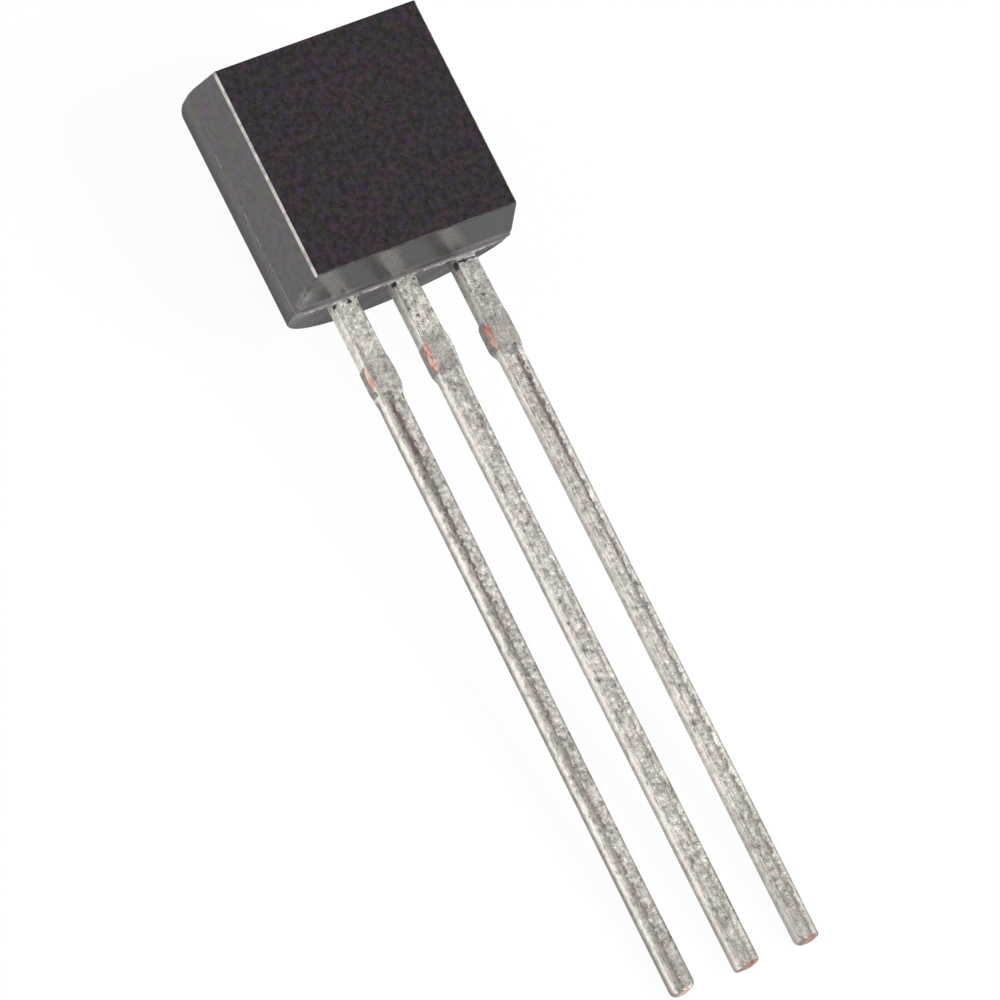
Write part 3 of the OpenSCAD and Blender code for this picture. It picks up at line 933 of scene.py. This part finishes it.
def section_pattern(corner_steps=6, across=13):
    """Round a lead's section: for each point, the corner or the place between corners that it
    hangs on, and its direction from there. A face's outer points lie close to its corners."""
    hang_x, hang_y, turn = [], [], []
    face = np.concatenate([[0.92], np.linspace(0.80, -0.80, across), [-0.92]])
    corners = [(1, 1), (-1, 1), (-1, -1), (1, -1)]
    for number, (sx, sy) in enumerate(corners):
        arc = math.pi / 2 * (number + np.linspace(0, 1, corner_steps + 1))
        nx, ny = corners[(number + 1) % 4]
        hang_x += [np.full_like(arc, sx), (sx + nx) / 2 + (sx - nx) / 2 * face]
        hang_y += [np.full_like(arc, sy), (sy + ny) / 2 + (sy - ny) / 2 * face]
        turn += [arc, np.full_like(face, arc[-1])]
    turn = np.concatenate(turn)
    return np.concatenate(hang_x), np.concatenate(hang_y), np.cos(turn), np.sin(turn)


def along(knots, z):
    """Straight lines through knots of height and value, at heights z."""
    heights, values = np.array(knots).T
    return np.interp(-z, -heights, values)

def neck_stations(lead):
    """Height, left and right edges, front and back edge radius, and burr, from the body to the
    stub's foot. The left edge steps at the stub, and the right one swells into it."""
    top, foot = -STUB_START, lead.stub_foot
    z = np.array([0.3, 0.1, 0.0, -0.2, -0.5, -0.9, -1.1, top + 0.02, top + 0.001, top - 0.004,
                  top - 0.03, top - 0.07, top - 0.13, top - 0.3, foot + 0.12, foot + 0.06,
                  foot + 0.02, foot])
    stub = z < top
    left = np.where(stub, lead.stub[0], lead.neck)
    left[-1] += 0.006
    right = along(lead.right, z)
    front = np.where(stub, STUB_EDGE, NECK_EDGE)
    front[0] = HEAD_EDGE
    back = np.full_like(z, BACK_EDGE)
    burr = lead.burr * np.sqrt(rise(top - z, 0.13) * rise(z - foot + 0.04, 0.14))
    return z, left, right, front, back, burr


def tail_stations(lead):
    """The same for the tail. Its edge radius soon reaches its full size, and each corner of
    its tip is a quarter round."""
    start = min(lead.stub_foot - 0.06, -STUB_END - 0.09)
    tip_left, tip_right = lead.corners
    end = max(tip_left, tip_right) * (1 - np.sin(np.linspace(0, math.pi / 2, 13)))
    z = np.concatenate([[start, start - 0.03, start - 0.08, start - 0.15, start - 0.3],
                        np.linspace(-2.6, -lead.length + 0.25, 90), -lead.length + end])
    above = z + lead.length

    def drawn_in(radius):
        """How far the tip's quarter round draws an edge in."""
        short = np.clip(radius - above, 0, radius)
        return radius - np.sqrt(radius * radius - short * short)

    left = along(lead.left, z) + drawn_in(tip_left)
    right = along(lead.right, z) - drawn_in(tip_right)
    edge = TAIL_START_EDGE + (TAIL_EDGE - TAIL_START_EDGE) * rise(start - z, 0.1)
    return z, left, right, edge, edge, np.zeros_like(z)


def lead_rings(stations, lead, dish=0.016):
    """Rings down a lead. Each is a rectangle with rounded corners between the left and right
    edges of its station, drawn out to the left at its back by the burr. The tail leans about
    the stub, and its front is dished along the streak."""
    z, left, right, front, back, burr = (np.asarray(s, float)[:, None] for s in stations)
    hang_x, hang_y, cos, sin = section_pattern()
    middle = (left + right) / 2
    half = (right - left) / 2
    radius = np.minimum((front + back) / 2 + (back - front) / 2 * hang_y, half * 0.9)
    x = hang_x * (half - radius) + cos * radius
    y = hang_y * (LEAD_THICKNESS / 2 - radius) + sin * radius
    x = middle + x + burr * (0.5 + y / LEAD_THICKNESS) * rise(-x, half)
    where, drift, width, strength = lead.streak
    face = (hang_y == -1) & (sin < -0.999)
    tail = rise(-STUB_END - 0.1 - z, 0.4) * rise(z + lead.length, 0.5)
    line = x - where - drift * (z + STUB_END)
    y = y + face * tail * dish * strength * np.exp(-(line / (width * 0.8)) ** 2)
    below = np.minimum(z + STUB_END, 0)
    x = x + lead.centre + below * math.tan(math.radians(lead.lean))
    y = y + FRONT_DEPTH + LEAD_THICKNESS / 2
    return np.stack([x, y, z + 0 * x], -1)


def joined(*groups):
    """Groups of stations, end to end."""
    return [np.concatenate(parts) for parts in zip(*groups)]


def step_row(*rows):
    """Stations given as rows of height, left edge and right edge, with nearly square edges."""
    z, left, right = np.array(rows, float).T
    edge = np.full_like(z, HEAD_EDGE)
    return z, left, right, edge, edge, np.zeros_like(z)


def outer_head(side):
    """The bonding pad of an outer lead, with its locking notch on the outer side."""
    inner, outer = PAD_OFFSET - PAD_WIDTH / 2, PAD_OFFSET + PAD_WIDTH / 2
    middle = (PAD_BOTTOM + PAD_TOP) / 2
    top, foot = middle + NOTCH_HEIGHT / 2, middle - NOTCH_HEIGHT / 2
    rows = [(PAD_TOP, inner, outer), (top + TINY, inner, outer),
            (top - TINY, inner, outer - NOTCH_DEPTH),
            (foot + TINY, inner, outer - NOTCH_DEPTH), (foot - TINY, inner, outer),
            (PAD_BOTTOM + POST_SHOULDER, inner, outer),
            (PAD_BOTTOM, -LEAD_WIDTH / 2, LEAD_WIDTH / 2)]
    if side < 0:
        rows = [(z, -right, -left) for z, left, right in rows]
    return step_row(*rows)


def collector_head():
    """The flag that carries the die."""
    wide, narrow = FLAG_WIDTH / 2, LEAD_WIDTH / 2
    return step_row((FLAG_TOP, -wide, wide), (FLAG_BOTTOM + POST_SHOULDER, -wide, wide),
                    (FLAG_BOTTOM, -narrow, narrow))


def make_lead(lead):
    """One lead, from its head in the moulding to its tip."""
    side = round(lead.centre / PITCH)
    head = outer_head(side) if side else collector_head()
    stations = joined(head, neck_stations(lead), tail_stations(lead))
    piece = skin(lead.name + "_tinned", lead_rings(stations, lead))
    if not side:
        turn = np.linspace(0, 2 * math.pi, 48, endpoint=False)
        x, z = FLAG_HOLE / 2 * np.cos(turn), HOLE_CENTRE + FLAG_HOLE / 2 * np.sin(turn)
        ends = [np.stack([x, np.full_like(x, y), z], -1) for y in (1.0, 1.8)]
        carve(piece, [skin("hole", np.stack(ends))])
    shade(piece, crease=32)
    fit_out(piece, "tinned_lead", tin_plate(lead), lead.node)


make_moulding()
make_flash()
for lead in LEADS:
    make_lead(lead)

for node, finish, slot in (("silicon_die", die_silicon(), "silicon"),
                           ("die_attach", solder_pad(), "solder"),
                           ("emitter_bond_wire", gold_wire(), "bond_wire_metal"),
                           ("base_bond_wire", gold_wire(), "bond_wire_metal")):
    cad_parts[node].data.materials.clear()
    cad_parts[node].data.materials.append(finish)
